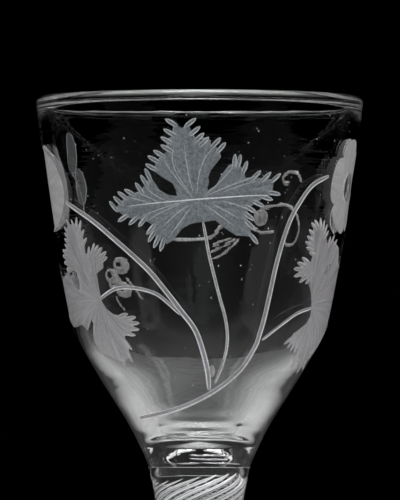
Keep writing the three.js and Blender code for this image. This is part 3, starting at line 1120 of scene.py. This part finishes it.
def matt_normals(vertices, faces, is_matt):
    """At each vertex the mean normal of the matt faces round it."""
    points = np.array(vertices)
    a, b, c = (points[faces[:, i]] for i in range(3))
    face_normals = np.cross(b - a, c - a)
    normals = np.zeros((len(vertices), 3))
    for i in range(3):
        np.add.at(normals, faces[is_matt, i], face_normals[is_matt])
    lengths = np.maximum(np.linalg.norm(normals, axis=1), TINY)
    return (normals / lengths[:, None]).tolist()


def band_grain(sheet, corners, top_cut, cuts):
    """For each corner of a cut face, how far it is across and along the stroke."""
    grain = np.zeros((len(corners), 3, 3))
    for c in np.unique(top_cut[top_cut >= 0]):
        its_faces = np.flatnonzero(top_cut == c)
        across_along = cuts[c].grain_at(sheet[corners[its_faces].ravel()])
        grain[its_faces, :, :2] = across_along.reshape(-1, 3, 2)
    return grain.reshape(-1, 3)


def make_bowl():
    profile = bowl_profile()
    vertices, rings = turned_rings(profile, bowl_low.z)
    low = 1 + int(np.searchsorted(SHEET_HEIGHTS, ENGRAVED_LOW * MM))
    high = 1 + int(np.searchsorted(SHEET_HEIGHTS, ENGRAVED_HIGH * MM))
    faces, kinds = turned_faces(rings, (0,), range(low, high))
    clear_normals = turned_normals(profile, rings, vertices)
    fold_faces = add_folds(vertices, clear_normals)
    faces += fold_faces
    kinds += [CLEAR] * len(fold_faces)

    cuts = engraving()
    band = Band(vertices, rings[low], rings[high], SHEET_UP[low - 1], SHEET_UP[high - 1])
    for cut in cuts:
        band.add_cut(cut)
    sheet, corners, index, over = band.triangles(cuts)
    clear_normals.update(sheet_normals(sheet, index))

    # Each face takes what the last cut over it leaves. Matt faces are shaded by their own shape,
    # and clear ones by the smooth form of the bowl.
    top_cut = np.array([max(c) if c else -1 for c in over])
    band_kinds = [CLEAR if c < 0 else cuts[c].kind for c in top_cut]
    band_faces = index[corners]
    is_matt = np.array(band_kinds) != CLEAR
    cut_normals = matt_normals(vertices, band_faces, is_matt)
    normals = [clear_normals[v] for face in faces for v in face]
    plain_grain = np.zeros((len(normals), 3))
    for face, matt in zip(band_faces.tolist(), is_matt):
        normals += [cut_normals[v] if matt else clear_normals[v] for v in face]
    grain = np.concatenate([plain_grain, band_grain(sheet, corners, top_cut, cuts)])
    faces += band_faces.tolist()
    kinds += band_kinds
    materials = [clear_glass("bowl_glass"), hot_joint]
    materials += [matt_cut(name, *finish) for name, finish in CUT_FINISHES.items()]
    return new_object("bowl_glass", vertices, faces, materials, kinds, normals, grain)


# Materials

def new_material(name):
    """An empty material, with its node tree and the socket of its surface."""
    material = bpy.data.materials.new(name)
    material.use_nodes = True
    tree = material.node_tree
    tree.nodes.clear()
    return material, tree, tree.nodes.new("ShaderNodeOutputMaterial").inputs["Surface"]


def add_node(tree, kind, **inputs):
    """A node, each input of which is a plain value or comes from another node's output."""
    made = tree.nodes.new("ShaderNode" + kind)
    for name, value in inputs.items():
        socket = made.inputs[name.replace("_", " ")]
        if isinstance(value, bpy.types.NodeSocket):
            tree.links.new(value, socket)
        else:
            socket.default_value = value
    return made


def object_place(tree):
    return add_node(tree, "TexCoord").outputs["Object"]


def grain_place(tree):
    grain = add_node(tree, "Attribute")
    grain.attribute_name = "grain"
    return grain.outputs["Vector"]


def noise(tree, place, scale, detail, stretch=(1, 1, 1)):
    stretched = add_node(tree, "Mapping", Vector=place, Scale=stretch).outputs["Vector"]
    return add_node(tree, "TexNoise", Vector=stretched, Scale=scale, Detail=detail).outputs["Fac"]


def bump(tree, height, strength, distance):
    return add_node(tree, "Bump", Height=height, Strength=strength, Distance=distance).outputs["Normal"]


def ramp(tree, factor, start, dark, end, pale):
    """A colour that goes from dark, where the factor is at its start, to pale, at its end."""
    made = add_node(tree, "ValToRGB", Fac=factor)
    for stop, position, colour in zip(made.color_ramp.elements, (start, end), (dark, pale)):
        stop.position = position
        stop.color = (*colour, 1)
    return made.outputs["Color"]


def glass_shader(tree, roughness, transmission, **inputs):
    glass = add_node(tree, "BsdfPrincipled", Roughness=roughness, IOR=LEAD_GLASS_IOR, **inputs)
    glass.inputs["Transmission Weight"].default_value = transmission
    return glass.outputs[0]


def mixed(tree, share, first, second):
    """Two shaders, and the share of the second."""
    mix = add_node(tree, "MixShader", Fac=share)
    tree.links.new(first, mix.inputs[1])
    tree.links.new(second, mix.inputs[2])
    return mix.outputs[0]


def passing_light(tree, shader, shade):
    """The shader, with a shadow that lets this share of a lamp's light through."""
    through = add_node(tree, "BsdfTransparent", Color=(shade, shade, shade, 1)).outputs[0]
    return mixed(tree, add_node(tree, "LightPath").outputs["Is Shadow Ray"], shader, through)


def clear_glass(name):
    """Polished glass with faint striae."""
    material, tree, surface = new_material(name)
    striae = noise(tree, object_place(tree), scale=40, detail=3, stretch=(1, 1, 7))
    normal = bump(tree, striae, strength=0.5, distance=0.08 * MM)
    glass = glass_shader(tree, roughness=0, transmission=1, Base_Color=GLASS_COLOUR, Normal=normal)
    tree.links.new(passing_light(tree, glass, 0.9), surface)
    return material


def matt_cut(name, dark, pale, grit):
    """Glass left matt by the wheel: mottled, with fine streaks along the strokes, in given colours
    that hold painted shade and painted highlights for some cuts.
    """
    material, tree, surface = new_material(name)
    mottle = noise(tree, object_place(tree), scale=2400, detail=6)
    streaks = noise(tree, grain_place(tree), scale=1, detail=4, stretch=(1.6, 0.12, 1))
    both = add_node(tree, "Mix", Factor=grit, A=streaks, B=mottle).outputs[0]
    colour = ramp(tree, both, 0.38, dark, 0.64, pale)
    normal = bump(tree, both, strength=0.6, distance=0.06 * MM)
    glass = glass_shader(tree, roughness=0.5, transmission=0.5, Base_Color=colour, Normal=normal)
    glow = add_node(tree, "BsdfTranslucent", Color=colour, Normal=normal).outputs[0]
    frost = mixed(tree, 0.2, glass, glow)
    tree.links.new(passing_light(tree, frost, 0.5), surface)
    return material


def air_wall():
    """The wall of an air thread: a mirror, with streaks of painted reflection so that it looks white."""
    material, tree, surface = new_material("air_thread")
    reflection_streaks = noise(tree, grain_place(tree), scale=1, detail=3, stretch=(3.5, 0.04, 1))
    colour = ramp(tree, reflection_streaks, 0.42, THREAD_SHADE_STREAK, 0.56, THREAD_REFLECTION_STREAK)
    painted_reflection = add_node(tree, "BsdfDiffuse", Color=colour).outputs[0]
    mirror = glass_shader(tree, roughness=0.06, transmission=1)
    tree.links.new(mixed(tree, 0.6, mirror, painted_reflection), surface)
    return material


def rough_glass(name, roughness, scale):
    """Broken or worn glass: clear below a rough skin."""
    material, tree, surface = new_material(name)
    skin = noise(tree, object_place(tree), scale, detail=6)
    normal = bump(tree, skin, strength=0.8, distance=0.1 * MM)
    glass = glass_shader(tree, roughness, transmission=0.9, Base_Color=ROUGH_COLOUR, Normal=normal)
    tree.links.new(glass, surface)
    return material


def weld():
    """The hidden face of a hot joint, where the glass of two pieces is one."""
    material, tree, surface = new_material("hot_joint")
    tree.links.new(add_node(tree, "BsdfTransparent").outputs[0], surface)
    return material


# Stem

def twist_at(outside, heights):
    """At each height, the turn of the twist and the stem's thickness as a share of the neck's."""
    levels = np.linspace(0, STEM_LENGTH, TWIST_LEVELS)
    sizes = np.array([radius_at(outside, h) for h in levels]) / NECK_RADIUS
    rate = 2 * math.pi / THREAD_PITCH * sizes**2
    turns = np.concatenate([[0], np.cumsum((rate[1:] + rate[:-1]) / 2 * np.diff(levels))])
    return np.interp(heights, levels, turns), np.interp(heights, levels, sizes)


def add_thread(vertices, streaks, outside, start):
    """One thread of air, as its faces: a flat ribbon, fluted lengthwise, that tapers at the top."""
    last_turn = twist_at(outside, STEM_LENGTH)[0]
    drop = THREAD_TOP_DROP * (1 + math.cos(start + last_turn + THREAD_TOP_TURN)) / 2
    top = STEM_LENGTH - THREAD_TOP_GAP - drop
    heights = np.linspace(THREAD_BOTTOM, top, THREAD_RINGS)
    turns, sizes = twist_at(outside, heights)
    apart = np.clip((STEM_LENGTH - heights) / GATHER_LENGTH, 0, 1)
    gathered = GATHER_SHARE + (1 - GATHER_SHARE) * apart**2 * (3 - 2 * apart)
    circle = THREAD_CIRCLE * sizes * gathered
    taper = np.clip((top - heights) / THREAD_TAPER, THREAD_TIP, 1) ** THREAD_TAPER_POWER
    first = len(vertices)
    for i in range(THREAD_RINGS):
        for s in range(THREAD_SIDES):
            a = 2 * math.pi * s / THREAD_SIDES
            flute = THREAD_FLUTE_DEPTH * math.cos(THREAD_FLUTES * math.pi * math.sin(a)) * math.cos(a)
            radius = circle[i] + (THREAD_DEPTH / 2 * math.cos(a) + flute) * sizes[i] * taper[i]
            aside = THREAD_WIDTH / 2 * sizes[i] * gathered[i] * taper[i] * math.sin(a)
            azimuth = start + turns[i] + aside / circle[i]
            x = radius * math.sin(azimuth)
            y = -radius * math.cos(azimuth)
            vertices.append((x, y, stem_low.z + heights[i]))
            # Where each vertex lies among the streaks of painted reflection.
            streaks.append((math.sin(a) + STREAK_SHIFT * start, heights[i] / MM, 0))
    return [face[::-1] for face in closed_tube(first, THREAD_RINGS, THREAD_SIDES)]


def make_stem():
    outside = smooth_outline(STEM_OUTSIDE)
    profile = [(0.0, 0.0)] + outside + [(0.0, STEM_LENGTH)]
    vertices, rings = turned_rings(profile, stem_low.z)
    faces, kinds = turned_faces(rings, (0, len(rings) - 2))
    streaks = [(0, 0, 0)] * len(vertices)
    for thread in range(THREAD_COUNT):
        start = 2 * math.pi * thread / THREAD_COUNT
        thread_faces = add_thread(vertices, streaks, outside, start)
        faces += thread_faces
        kinds += [THREAD] * len(thread_faces)
    grain = [streaks[v] for face in faces for v in face]
    materials = [clear_glass("stem_glass"), hot_joint, air_wall()]
    return new_object("stem_glass", vertices, faces, materials, kinds, grain=grain)


# Foot

def chipped(place):
    """A point of the scar, moved up or down where the glass broke unevenly."""
    x, y, z = place
    first, second = (across * x + along * y for across, along in SCAR_WAVES)
    return (x, y, z + SCAR_CHIP * (math.sin(first) * math.cos(second)))


def kick_outline():
    """The slope of the kick, from its flat middle out and down to the ring that wears."""
    points = [(KICK_FLAT_RADIUS - CORNER, KICK_HEIGHT)]
    for t in np.linspace(*KICK_SPAN, KICK_STEPS):
        out = KICK_FLAT_RADIUS + (WEAR_RING_INSIDE - KICK_FLAT_RADIUS) * t
        points.append((out, KICK_HEIGHT * (1 - t)))
    return points


def make_foot():
    size = FOOT_EDGE_ROUND
    ring = FOOT_RADIUS - size
    scar = smooth_outline(SCAR_OUTLINE, SCAR_STEPS)
    kick = kick_outline()
    worn = [(WEAR_RING_INSIDE + CORNER, 0.0), (ring - CORNER, 0.0)]
    below = quarter_round((ring, size), size, size, -math.pi / 2, 0)
    above = quarter_round((ring, size), size, size, 0, math.pi / 2)
    top = smooth_outline(FOOT_TOP)
    profile = scar + kick + worn + below + above[1:] + top[1:] + [(0.0, FOOT_HEIGHT)]
    vertices, rings = turned_rings(profile, foot_low.z)
    faces, kinds = turned_faces(rings, (len(rings) - 2,))
    scar_end = len(scar) - 1
    worn_start = len(scar) + len(kick) - 1
    for face in range(len(faces)):
        span = face // AZIMUTH_STEPS
        if span < scar_end:
            kinds[face] = SCAR
        elif worn_start <= span <= worn_start + len(worn):
            kinds[face] = WORN
    for ring_vertices in rings[:scar_end]:
        for vertex in ring_vertices:
            vertices[vertex] = chipped(vertices[vertex])
    materials = [clear_glass("foot_glass"), hot_joint]
    materials += [rough_glass("pontil_scar", 0.3, 1500), rough_glass("foot_wear", 0.45, 5000)]
    return new_object("foot_glass", vertices, faces, materials, kinds)


hot_joint = weld()
for piece, node in ((make_bowl(), "bowl"), (make_stem(), "stem"), (make_foot(), "foot")):
    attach(piece, "root")
    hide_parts(node)


# Floor, lamps and camera

def make_floor():
    corners = [
        (-FLOOR_HALF, -FLOOR_FRONT, 0),
        (FLOOR_HALF, -FLOOR_FRONT, 0),
        (FLOOR_HALF, FLOOR_BACK, 0),
        (-FLOOR_HALF, FLOOR_BACK, 0),
    ]
    material, tree, surface = new_material("floor")
    # Bands of painted shade across the pale floor, which show through the bowl's base.
    shade_bands = noise(tree, object_place(tree), scale=9, detail=1, stretch=(0.1, 3, 1))
    colour = ramp(tree, shade_bands, 0.35, FLOOR_SHADE_BAND, 0.65, FLOOR_PALE)
    shader = add_node(tree, "BsdfPrincipled", Base_Color=colour, Roughness=0.8)
    tree.links.new(shader.outputs[0], surface)
    floor = new_object("floor", corners, [(0, 1, 2, 3)], [material], [0])


def area_light(name, place, size, power, aim, spread=180, mirrored=False):
    """A soft lamp. The spread is in degrees, and only a mirrored lamp shows in the glass."""
    data = bpy.data.lights.new(name, "AREA")
    data.shape = "RECTANGLE"
    data.size, data.size_y = size
    data.energy = power
    data.spread = spread * DEGREE
    lamp = bpy.data.objects.new(name, data)
    lamp.location = place
    lamp.rotation_euler = (Vector(aim) - Vector(place)).to_track_quat("-Z", "Y").to_euler()
    lamp.visible_camera = False
    lamp.visible_glossy = mirrored
    lamp.visible_transmission = mirrored
    bpy.context.scene.collection.objects.link(lamp)


def make_lights():
    behind = (0, 0.14, 0)
    bowl = (0, 0, 0.14)
    area_light("light_top", (0, 0.16, 0.8), (0.3, 0.3), 0.2, behind, spread=34, mirrored=True)
    area_light("light_near", (0, -0.01, 0.8), (0.1, 0.1), 0.05, (0, -0.01, 0), spread=16)
    area_light("light_strip", (0, 0.05, 0.8), (1.4, 0.15), 0.9, (0, 0.05, 0), mirrored=True)
    area_light("light_room", (0, 0.2, 1.2), (0.8, 0.8), 0.4, (0, 0.2, 0))
    area_light("light_left", (-0.5, -0.15, 0.16), (0.25, 0.2), 0.16, bowl, spread=50)
    area_light("light_right", (0.5, -0.15, 0.16), (0.25, 0.2), 0.16, bowl, spread=50)
    area_light("light_front", (0.02, -0.7, 0.05), (0.3, 0.2), 0.55, (0, 0, 0.16), spread=50)


def make_world():
    world = bpy.data.worlds.new("studio")
    bpy.context.scene.world = world
    world.use_nodes = True
    world.node_tree.nodes["Background"].inputs["Color"].default_value = (0, 0, 0, 1)


def make_camera():
    data = bpy.data.cameras.new("camera")
    data.lens = VIEW_LENS_MM
    data.sensor_width = SENSOR_WIDTH_MM
    camera = bpy.data.objects.new("camera", data)
    camera.location = (VIEW_ASIDE, -VIEW_DISTANCE, bowl_high.z + VIEW_ABOVE_RIM)
    camera.rotation_euler = (math.pi / 2 - VIEW_DOWN, 0, 0)
    bpy.context.scene.collection.objects.link(camera)
    bpy.context.scene.camera = camera


make_floor()
make_lights()
make_world()
make_camera()
scene = bpy.context.scene
scene.view_settings.view_transform = "Standard"
scene.cycles.max_bounces = 32
scene.cycles.transmission_bounces = 32
scene.cycles.glossy_bounces = 16
scene.cycles.transparent_max_bounces = 32
